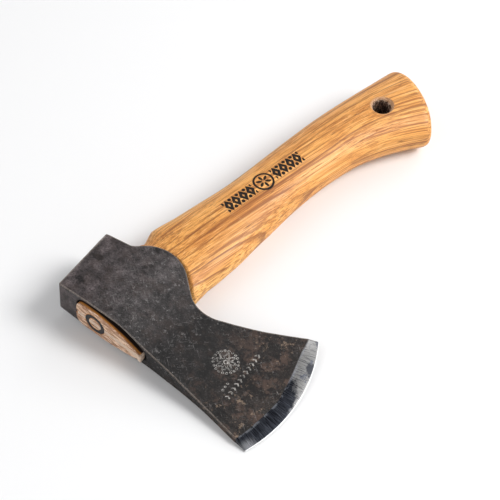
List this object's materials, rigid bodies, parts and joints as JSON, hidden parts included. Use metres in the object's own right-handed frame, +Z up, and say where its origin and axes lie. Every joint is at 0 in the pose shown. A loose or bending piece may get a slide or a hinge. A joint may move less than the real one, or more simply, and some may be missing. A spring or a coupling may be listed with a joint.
{
  "type": "carving hatchet",
  "caption": "Short one-hand carving hatchet: forged bearded head with a curved ground bit, on a flared hickory handle with a hanging hole.",
  "frame": {"origin": "centre of the bounding box's bottom face: the point on the table under the middle of the lying hatchet", "axes": "+Z up from the table it lies on; +Y along the handle from the head towards the knob; +X from the poll towards the bit. The blade's mid-plane leans 6.2 degrees towards the bit, as the hatchet rests on its cheek, toe and knob."},
  "size_m": [0.1384, 0.2576, 0.0306],
  "materials": {
    "forged_steel": "dark forge scale with fine pits, bright ground bevel",
    "hickory": "oiled hickory with long brown grain",
    "wedge_wood": "raw end grain",
    "ring_steel": "dark oxidised steel"
  },
  "bodies": {
    "root": {"axe_head": "forged_steel", "handle": "hickory", "wood_wedge": "wedge_wood", "ring_wedge": "ring_steel"}
  },
  "joints": []
}
